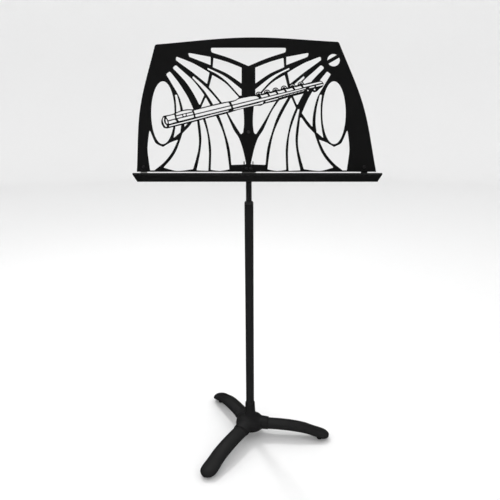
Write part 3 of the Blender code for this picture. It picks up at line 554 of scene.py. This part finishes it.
def make_panel():
    low, high = desk_box("desk_panel")
    outlines = [fair(loop) for loop in front_outlines("desk_panel")]
    sheet = plate("panel_sheet", outlines, high.y - low.y, EDGE)
    sheet = on_desk(sheet, (low.y + high.y) / 2)
    made(sheet, "panel_sheet", "desk", "black_powder_coat", DESK_COAT, "desk_panel")


def make_ledge():
    """The folded ledge: flange, floor and lip of one sheet, with bend radii and slanted ends."""
    low, high = desk_box("ledge_tray")
    sheet = desk_box("desk_panel")[1].y - desk_box("desk_panel")[0].y
    floor = low.z + sheet
    back, front = high.y, low.y
    lip_top = max(p.z for p in desk_points("ledge_tray") if p.y < front + sheet)
    inner = BEND_RADIUS
    outer = inner + sheet
    round_edge = sheet * 0.48

    def bend(y, z, radius, start, end, steps=8):
        """Points on an arc of the section, from one angle to another."""
        turns = [radians(start + (end - start) * k / steps) for k in range(steps + 1)]
        return [(y + radius * cos(a), z + radius * sin(a)) for a in turns]

    rest = floor + inner
    section = (
        bend(back - sheet / 2, high.z - round_edge, round_edge, 0, 180)
        + bend(back - outer, rest, inner, 0, -90)
        + bend(front + outer, rest, inner, -90, -180)
        + bend(front + sheet / 2, lip_top - round_edge, round_edge, 0, 180)
        + bend(front + outer, rest, outer, 180, 270)
        + bend(back - outer, rest, outer, -90, 0)
    )
    points = desk_points("ledge_tray")
    ends = {}
    for side, pick in (("left", min), ("right", max)):
        at_back = pick(p.x for p in points if p.y > back - 2 * sheet)
        at_front = pick(p.x for p in points if p.y < front + 2 * sheet)
        ends[side] = (at_back, at_front)

    def across(side, inset, y):
        """How far across the slanted end lies at this depth."""
        at_back, at_front = ends[side]
        t = (back - y) / (back - front)
        return at_back + (at_front - at_back) * t + inset

    stations = [("left", 0.0, EDGE), ("left", EDGE, 0.0), ("right", -EDGE, 0.0), ("right", 0.0, EDGE)]
    rings = []
    for side, inset, shrink in stations:
        ring = []
        for y, z in section:
            y_in = y - shrink * (y > back - sheet / 2) + shrink * (y < front + sheet / 2)
            z_in = z + shrink * (z < floor - sheet * 0.8)
            ring.append(DESK @ Vector((across(side, inset, y), y_in, z_in)))
        rings.append(ring)
    mesh = loft("ledge", rings, sharp=50)
    # The ledge takes the lighter copy of the desk's coat, painted light for its shaded underside.
    made(mesh, "ledge", "desk", "black_powder_coat", LEDGE_COAT_PAINTED_LIGHTER, "ledge_tray")


def make_rivets():
    """Domed heads in front, upset tails behind."""
    for node in frame["nodes"]:
        if "rivet" not in node:
            continue
        low, high = desk_box(node)
        middle = (low + high) / 2
        radius = (high.x - low.x) / 2
        head = RIVET_RIM + RIVET_RISE
        tail = head - (high.y - low.y)
        upset = tail + RIVET_UPSET
        turns = [pi / 2 * k / 10 for k in range(11)]
        profile = [(radius * sin(a), RIVET_RIM + RIVET_RISE * cos(a)) for a in turns] + [
            (radius - 0.0001, 0.0), (RIVET_STEM * radius, 0.0), (RIVET_STEM * radius, upset),
            (0.78 * radius, upset), (0.8 * radius, tail + 0.0005), (0.66 * radius, tail), (0.0, tail),
        ]
        mesh = lathe(node + "_turned", profile, 40)
        mesh.transform(Matrix.Translation((middle.x, 0, middle.z)) @ FACE_ON)
        mesh.transform(DESK @ Matrix.Translation((0, low.y + head, 0)))
        made(mesh, node + "_turned", "desk", "blackened_steel", OXIDE, node)


def edged(node, width, segments=2):
    """Fine rounded edges on a CAD sheet that keeps its shape."""
    part = frame["nodes"][node]
    weld = part.modifiers.new("weld", "WELD")
    weld.merge_threshold = 1e-6
    edge = part.modifiers.new("edge", "BEVEL")
    edge.width = width
    edge.segments = segments
    edge.limit_method = "ANGLE"
    edge.angle_limit = radians(40)
    edge.harden_normals = True


# ---------------------------------------------------------------- tilt head


KNUCKLE_HALF = 0.0065
KNUCKLE_DEPTH = 0.0075
KNUCKLE_EDGE = 0.0012
COLLAR_RADIUS = 0.0092
COLLAR_TOP = 0.6580
# Each station of the knuckle's neck: height, and share of its full section.
NECK_STATIONS = [(0.6550, 1.0), (0.6585, 1.0), (0.6640, 0.96), (0.6690, 0.9)]
WASHER_BORE = 0.0034
WASHER_RADIUS = 0.009
HEX_CORNER = 0.0058
HEX_FLATS = 2 * HEX_CORNER * cos(pi / 6)
BOLT_HEAD = 0.0032
BOLT_SOCKET = 0.0019
# The split washer's section in millimetres: radius, and share of its thickness.
SPLIT_SECTION = [
    (3.4, 0.62), (3.6, 0.72), (5.4, 0.72), (5.6, 0.62),
    (5.6, -0.62), (5.4, -0.72), (3.6, -0.72), (3.4, -0.62),
]


def make_tilt_head():
    make_knuckle()
    for side in ("left", "right"):
        make_friction_washer(side)
    make_split_washer()
    make_tilt_nut()
    make_tilt_bolt()


def disc_profile(radius, high, low, edge):
    """A solid disc's profile with its edges rounded."""
    return eased([(0.0, high), (radius, high), (radius, low), (0.0, low)], edge)


def make_knuckle():
    """A round boss on a squared neck and a collar, forged in one."""
    low, high = corners("tilt_knuckle")
    boss = lathe("boss", disc_profile(high.z - PIVOT.z, KNUCKLE_HALF, -KNUCKLE_HALF, KNUCKLE_EDGE), 48)
    boss.transform(Matrix.Translation(PIVOT) @ ALONG_X)
    collar = lathe("collar", disc_profile(COLLAR_RADIUS, COLLAR_TOP, low.z, KNUCKLE_EDGE), 48, (POLE_X, 0))
    rings = []
    for height, grow in NECK_STATIONS:
        ring = []
        for k in range(40):
            angle = 2 * pi * k / 40
            reach = grow * (abs(cos(angle)) ** 4 + abs(sin(angle)) ** 4) ** -0.25
            across = reach * KNUCKLE_HALF * cos(angle)
            ring.append(Vector((POLE_X + across, reach * KNUCKLE_DEPTH * sin(angle), height)))
        rings.append(ring)
    knuckle = cast("knuckle_forging", 0.0004, 5, boss, collar, loft("neck", rings))
    made(knuckle, "knuckle_forging", "shaft", "blackened_steel", OXIDE, "tilt_knuckle")


def across_head(mesh, x, flip=1):
    """A mesh made along Z, laid along the tilt bolt with its origin here."""
    mesh.transform(Matrix.Translation((x, PIVOT.y, PIVOT.z)) @ Matrix.Diagonal((flip, 1, 1, 1)) @ ALONG_X)
    if flip < 0:
        mesh.flip_normals()
    return mesh


def make_friction_washer(side):
    node = "friction_washer_" + side
    middle, half = centre(node)
    ring = [
        (WASHER_BORE, half.x), (WASHER_RADIUS, half.x), (WASHER_RADIUS, -half.x), (WASHER_BORE, -half.x),
    ]
    mesh = across_head(lathe("washer", eased(ring, 0.00025)), middle.x)
    made(mesh, "friction_washer_turned_" + side, "desk", "black_nylon", NYLON, node)


def make_split_washer():
    """A ring cut through and set a little, like a spring."""
    middle, half = centre("spring_washer")
    turns = 84
    rings = []
    for k in range(turns + 1):
        angle = radians(8) + radians(344) * k / turns
        lift = (k / turns - 0.5) * 0.0004
        ring = []
        for reach, side in SPLIT_SECTION:
            radius = reach * 0.001
            ring.append(Vector((radius * cos(angle), radius * sin(angle), side * half.x + lift)))
        rings.append(ring)
    mesh = across_head(loft("split_washer", rings, sharp=50), middle.x)
    made(mesh, "split_washer", "desk", "plated_steel", ZINC, "spring_washer")


def make_tilt_nut():
    middle, half = centre("tilt_nut")
    thick = half.x
    profile = [
        (0.0033, 0.0004 - thick), (0.0037, -thick), (0.0050, -thick), (HEX_CORNER, 0.0006 - thick, 1),
        (HEX_CORNER, thick - 0.0006, 1), (0.0051, thick, 0), (0.0037, thick), (0.0033, thick - 0.0004),
    ]
    mesh = across_head(ring_hex("nut", profile, HEX_FLATS), middle.x)
    made(mesh, "tilt_nut_turned", "desk", "plated_steel", ZINC, "tilt_nut")


def make_tilt_bolt():
    """A cap screw with a hexagon socket."""
    low, high = corners("tilt_bolt")
    tip = low.x + BOLT_HEAD - high.x
    profile = [
        (0.0, 0.0012), (0.00165, 0.0012, -1), (0.00165, BOLT_SOCKET + 0.0009, -1), (0.0019, BOLT_HEAD, 0),
        (0.0046, BOLT_HEAD, 0), (0.0054, BOLT_HEAD - 0.0007), (0.0056, BOLT_HEAD - 0.0016), (0.0056, 0.0),
        (0.003, 0.0), (0.003, tip + 0.0006), (0.0024, tip), (0.0, tip),
    ]
    mesh = across_head(ring_hex("bolt", profile, HEX_FLATS), low.x + BOLT_HEAD, -1)
    made(mesh, "tilt_bolt_turned", "desk", "plated_steel", ZINC, "tilt_bolt")


def ring_hex(name, profile, flats, steps=72):
    """A turned fastener, hexagonal outside where its profile is marked 1 and inside where it is marked -1."""
    rings = []
    for radius, height, *mark in profile:
        ring = []
        for k in range(steps):
            angle = 2 * pi * k / steps
            reach = radius
            if mark == [1]:
                reach = min(radius, hexagon(angle, flats))
            elif mark == [-1]:
                reach = hexagon(angle, 2 * radius)
            ring.append(Vector((reach * cos(angle), reach * sin(angle), height)))
        rings.append(ring)
    return loft(name, rings, capped=profile[0][0] == 0)


# ---------------------------------------------------------------- pole


TUBE_WALL = 0.0015
CLEARANCE = 0.0003
TAIL_LENGTH = 0.0365
TAIL_RADIUS = 0.0042
CLIP_GROOVE_RADIUS = 0.0032
CLIP_GROOVE_LOW = 0.0019
CLIP_GROOVE_HIGH = 0.0035
CAP_MOUTH = 0.0082
CAP_SHOULDER = 0.0028
CAP_SKIRT = 0.0061


def make_pole():
    """The outer tube, the shaft that slides in it, and the moulded cap over the clutch."""
    low, high = corners("outer_tube")
    radius = (high.x - low.x) / 2
    bore = radius - TUBE_WALL
    wall = [(bore, high.z), (radius, high.z), (radius, low.z), (bore, low.z)]
    tube = pole_part("pole_tube", wall, 0.0004)
    made(tube, "pole_tube", "base", "black_powder_coat", POLE_COAT, "outer_tube")

    low, high = corners("inner_shaft")
    shaft = (high.x - low.x) / 2
    neck = low.z + TAIL_LENGTH
    groove_high = low.z + CLIP_GROOVE_HIGH
    groove_low = low.z + CLIP_GROOVE_LOW
    rod = [
        (0.0, high.z), (shaft, high.z), (shaft, neck), (TAIL_RADIUS, neck), (TAIL_RADIUS, groove_high),
        (CLIP_GROOVE_RADIUS, groove_high), (CLIP_GROOVE_RADIUS, groove_low), (TAIL_RADIUS, groove_low),
        (TAIL_RADIUS, low.z), (0.0, low.z),
    ]
    made(pole_part("shaft_rod", rod, 0.0005), "shaft_rod", "shaft", "blackened_steel", OXIDE, "inner_shaft")

    low, high = corners("clutch_cap")
    shoulder = high.z - CAP_SHOULDER
    seat = high.z - CAP_SKIRT
    inside = bore - CLEARANCE
    grip = shaft + CLEARANCE
    cap = [
        (grip + CLEARANCE, high.z), (CAP_MOUTH, high.z), (radius, shoulder), (radius, seat), (inside, seat),
        (inside, low.z), (grip, low.z), (grip, high.z - 2 * CLEARANCE),
    ]
    moulding = pole_part("clutch_cap_moulding", cap, 0.0004)
    made(moulding, "clutch_cap_moulding", "base", "black_nylon", NYLON, "clutch_cap")


def pole_part(name, profile, edge):
    """A part turned about the pole's axis, with its edges rounded."""
    return lathe(name, eased(profile, edge), 96, (POLE_X, 0))


# ---------------------------------------------------------------- base

LEG_HEIGHT = 0.0355
LEG_REACH = 0.030
LEG_HALF_WIDTH = 0.0196
ROOT_HALF_THICK = 0.01125
# Each station of a leg: reach from the pole, height of its middle, share of its width, half thickness.
LEG_STATIONS = [
    (LEG_REACH, LEG_HEIGHT, 1.0, ROOT_HALF_THICK), (0.060, LEG_HEIGHT, 1.0, ROOT_HALF_THICK),
    (0.080, 0.0349, 1.0, 0.01125), (0.097, 0.0340, 1.0, 0.0112), (0.115, 0.0323, 1.0, 0.0110),
    (0.133, 0.0296, 1.0, 0.01055), (0.145, 0.0269, 1.0, 0.01005), (0.155, 0.0238, 1.0, 0.0095),
    (0.165, 0.0205, 1.03, 0.0090), (0.175, 0.0175, 1.06, 0.0086), (0.184, 0.0149, 1.055, 0.00825),
    (0.189, 0.0137, 1.00, 0.0080), (0.194, 0.0128, 0.87, 0.00745), (0.1975, 0.0121, 0.71, 0.0065),
    (0.200, 0.0118, 0.535, 0.00545), (0.202, 0.0116, 0.33, 0.00425), (0.203, 0.0115, 0.12, 0.0030),
]
SLEEVE_WALL = 0.0016
# Each station of a hub arm: reach from the pole, share of its width, how much fuller its upper side is.
SLEEVE_STATIONS = [
    (0.0145, 1.0, 0.0022), (0.030, 1.0, 0.0019), (0.0385, 1.0, 0.0013), (0.0455, 1.0, 0.0006),
    (0.0469, 0.985, 0.0004), (0.0475, 0.955, 0.0002),
]
HUB_TOP = 0.0955
HUB_BOTTOM = 0.0250
HUB_SIDE = [
    (0.0104, HUB_TOP), (0.0113, HUB_TOP), (0.0120, 0.0946), (0.0124, 0.0850), (0.0134, 0.0665),
    (0.0160, 0.0592), (0.0225, 0.0542), (0.0310, 0.0490), (0.0355, 0.0430), (0.0368, 0.0340),
    (0.0350, 0.0268), (0.0300, HUB_BOTTOM),
]
HUB_RECESS_RADIUS = 0.0125
HUB_RECESS_TOP = 0.040
HUB_BOLT_BORE = 0.0045
HUB_SOCKET_RADIUS = 0.0090
HUB_SOCKET_FLOOR = 0.0497
HUB_GRAIN = 0.0009
HUB_SMOOTHING = 4
GLIDE_STEM = 0.003
GLIDE_STEM_LENGTH = 0.0063
GLIDE_GROOVE = 0.0006


def oval_ring(place, half_width, half_thick, count=56, fullness=2.0):
    """A flattened oval section in the YZ plane."""
    ring = []
    for k in range(count):
        angle = 2 * pi * k / count
        x = abs(cos(angle)) ** (2 / fullness) * (1 if cos(angle) >= 0 else -1)
        z = abs(sin(angle)) ** (2 / fullness) * (1 if sin(angle) >= 0 else -1)
        ring.append(place + Vector((0, half_width * x, half_thick * z)))
    return ring


def through(points, pieces):
    """Points on a smooth line through the given ones."""
    knots = [Vector(p) for p in points]
    knots = [2 * knots[0] - knots[1]] + knots + [2 * knots[-1] - knots[-2]]
    run = [knots[1]]
    for a, b, c, d in zip(knots, knots[1:], knots[2:], knots[3:]):
        for k in range(1, pieces + 1):
            t = k / pieces
            slope = (c - a) * t
            bow = (2 * a - 5 * b + 4 * c - d) * t * t
            twist = (3 * b - a - 3 * c + d) * t ** 3
            run.append(0.5 * (2 * b + slope + bow + twist))
    return run


def turn_to(angle):
    """From beside the pole along +X, to this direction."""
    return Matrix.Translation((POLE_X, 0, 0)) @ Matrix.Rotation(angle, 4, "Z")


def make_base():
    """The legs, and the cast hub whose arms hold them."""
    arms = []
    legs = [node for node in frame["nodes"] if node.startswith("leg_") and "screw" not in node]
    for node in legs:
        middle, _ = centre(node)
        angle = atan2(middle.y, middle.x - POLE_X)
        side = node.removeprefix("leg_")
        rings = [
            oval_ring(Vector((reach, 0, height)), LEG_HALF_WIDTH * share, half_thick)
            for reach, height, share, half_thick in through(LEG_STATIONS, 5)
        ]
        mesh = loft("leg_blade", rings, sharp=60)
        mesh.transform(turn_to(angle))
        made(mesh, "leg_blade_" + side, "base", "black_powder_coat", BASE_COAT, node)
        arm = loft("sleeve", [
            oval_ring(
                Vector((reach, 0, LEG_HEIGHT + rise)), (LEG_HALF_WIDTH + SLEEVE_WALL) * share,
                (ROOT_HALF_THICK + SLEEVE_WALL) * share + rise,
            )
            for reach, share, rise in SLEEVE_STATIONS
        ])
        arm.transform(turn_to(angle))
        arms.append(arm)
        make_foot(side)
    inside = [
        (HUB_RECESS_RADIUS, HUB_BOTTOM), (HUB_RECESS_RADIUS, HUB_RECESS_TOP),
        (HUB_BOLT_BORE, HUB_RECESS_TOP), (HUB_BOLT_BORE, HUB_SOCKET_FLOOR),
        (HUB_SOCKET_RADIUS, HUB_SOCKET_FLOOR), (HUB_SOCKET_RADIUS, HUB_TOP),
    ]
    hub = lathe("hub_core", HUB_SIDE + inside, 96, (POLE_X, 0))
    casting = cast("hub_casting", HUB_GRAIN, HUB_SMOOTHING, hub, *arms)
    made(casting, "hub_casting", "base", "black_powder_coat", BASE_COAT, "base_hub")


def make_foot(side):
    """The rubber glide under a leg's end, and the screw that holds the leg in the hub."""
    middle, half = centre("foot_glide_" + side)
    top = half.z * 2
    seat = top - GLIDE_STEM_LENGTH
    radius = half.x
    pad = [
        (0.0, top), (GLIDE_STEM, top), (GLIDE_STEM, seat), (radius, seat), (radius, 0.0),
        (0.75 * radius, 0.0), (0.70 * radius, GLIDE_GROOVE), (0.55 * radius, GLIDE_GROOVE),
        (0.50 * radius, 0.0), (0.0, 0.0),
    ]
    glide = lathe("glide", eased(pad, 0.0009), 64, (middle.x, middle.y))
    made(glide, "glide_" + side, "base", "black_rubber", RUBBER, "foot_glide_" + side)
    middle, half = centre("leg_screw_" + side)
    bottom = middle.z - half.z
    top = middle.z + half.z
    seat = bottom + 0.0026
    socket = bottom + 0.0014
    profile = [
        (0.0, top), (0.0021, top), (0.0025, top - 0.0004), (0.0025, seat), (0.0046, seat),
        (0.0046, bottom + 0.0011), (0.0038, bottom + 0.0002), (0.0030, bottom), (0.0017, bottom, 0),
        (0.0015, bottom + 0.0003, -1), (0.0015, socket, -1), (0.0, socket),
    ]
    screw = ring_hex("screw", profile, 0.01)
    screw.transform(Matrix.Translation((middle.x, middle.y, 0)))
    made(screw, "leg_screw_turned_" + side, "base", "plated_steel", ZINC, "leg_screw_" + side)


def make_base_bolt():
    """The bolt from below that pulls the hub and the tube together, and its washer."""
    middle, half = centre("base_bolt")
    bottom = middle.z - half.z
    top = middle.z + half.z
    seat = bottom + 0.0053
    corner = 0.0075
    profile = [
        (0.0, top), (0.0032, top), (0.004, top - 0.0008), (0.004, seat), (0.0066, seat),
        (corner, seat - 0.0006, 1), (corner, bottom + 0.0006, 1), (0.0062, bottom), (0.0, bottom),
    ]
    bolt = ring_hex("bolt", profile, 2 * corner * cos(pi / 6))
    bolt.transform(Matrix.Translation((middle.x, middle.y, 0)))
    made(bolt, "hub_bolt", "base", "plated_steel", ZINC, "base_bolt")
    middle, half = centre("base_washer")
    ring = [(0.0044, half.z), (half.x, half.z), (half.x, -half.z), (0.0044, -half.z)]
    washer = lathe("washer", eased(ring, 0.0003), 64, (middle.x, middle.y))
    washer.transform(Matrix.Translation((0, 0, middle.z)))
    made(washer, "hub_washer", "base", "plated_steel", ZINC, "base_washer")


# ---------------------------------------------------------------- studio


def area_light(name, place, aim, size, power):
    """A round soft lamp that shines from one place towards another."""
    light = bpy.data.lights.new(name, "AREA")
    light.shape = "DISK"
    light.size = size
    light.energy = power
    lamp = bpy.data.objects.new(name, light)
    lamp.location = place
    lamp.rotation_euler = (Vector(aim) - Vector(place)).to_track_quat("-Z", "Y").to_euler()
    COLLECTION.objects.link(lamp)


CAMERA_PLACE = (0.0012, -1.0588, 0.7468)
CAMERA_TIP = radians(18.35)
BOWL_FLAT = 7.0
BOWL_CURVE = 2.0
BOWL_TOP = 6.0
BOWL_STEPS = 96
PAPER = ((0.90, 0.90, 0.90), (0.93, 0.93, 0.93))
SKY_STRENGTH = 1.08


def make_studio():
    make_camera()
    make_floor()
    make_light()


def make_camera():
    lens = bpy.data.cameras.new("camera")
    lens.lens = 34.14
    lens.shift_x = -0.016
    lens.shift_y = 0.08
    camera = bpy.data.objects.new("camera", lens)
    camera.location = CAMERA_PLACE
    camera.rotation_euler = (pi / 2 - CAMERA_TIP, 0, 0)
    COLLECTION.objects.link(camera)
    bpy.context.scene.camera = camera


def make_floor():
    """A pale paper floor that curves up into walls far from the stand."""
    turns = [pi / 2 * k / 16 for k in range(17)]
    bowl = [(0.0, 0.0)]
    bowl += [(BOWL_FLAT + BOWL_CURVE * sin(a), BOWL_CURVE - BOWL_CURVE * cos(a)) for a in turns]
    bowl.append((BOWL_FLAT + BOWL_CURVE, BOWL_TOP))
    form = bmesh.new()
    points = [form.verts.new((radius, 0, height)) for radius, height in bowl]
    for start, end in zip(points, points[1:]):
        form.edges.new((start, end))
    full_turn(form, (0, 0), BOWL_STEPS)
    mesh = smooth(mesh_from(form, "studio_floor"), 60)
    floor = bpy.data.objects.new("studio_floor", mesh)
    COLLECTION.objects.link(floor)
    paper = Finish("studio paper")
    fibre = paper.noise(30, 4.0, 0.6)
    paper.done(colour=paper.mix(fibre, *PAPER), roughness=0.9)
    mesh.materials.append(paper.material)
    floor.visible_shadow = False
    floor.visible_glossy = False


def make_light():
    """An even white sky, one soft lamp from above and behind, and a weak one in front."""
    world = bpy.data.worlds.new("studio")
    world.use_nodes = True
    sky = world.node_tree.nodes["Background"]
    sky.inputs["Color"].default_value = (1.0, 1.0, 1.0, 1.0)
    sky.inputs["Strength"].default_value = SKY_STRENGTH
    world.cycles_visibility.glossy = False
    bpy.context.scene.world = world
    bpy.context.scene.view_settings.view_transform = "Standard"
    area_light("key", (-0.55, 1.15, 2.5), (0, 0, 0.1), 0.35, 16)
    area_light("front", (-0.9, -1.9, 1.9), (0, 0, 0.4), 1.2, 3)


make_studio()
make_panel()
make_ledge()
make_rivets()
make_tilt_head()
make_pole()
make_base()
make_base_bolt()
for sheet_metal in ("tilt_bracket", "strap_left", "strap_right"):
    edged(sheet_metal, SHEET_EDGE)
NODE_FINISH = {"desk_panel": DESK_COAT, "ledge_tray": DESK_COAT, "base_hub": BASE_COAT}
for entry in frame["record"]["subparts"]:
    part = frame["nodes"][entry["node"]]
    part.data.materials.clear()
    part.data.materials.append(NODE_FINISH.get(entry["node"], SLOT_FINISH[entry["material_slot"]]))
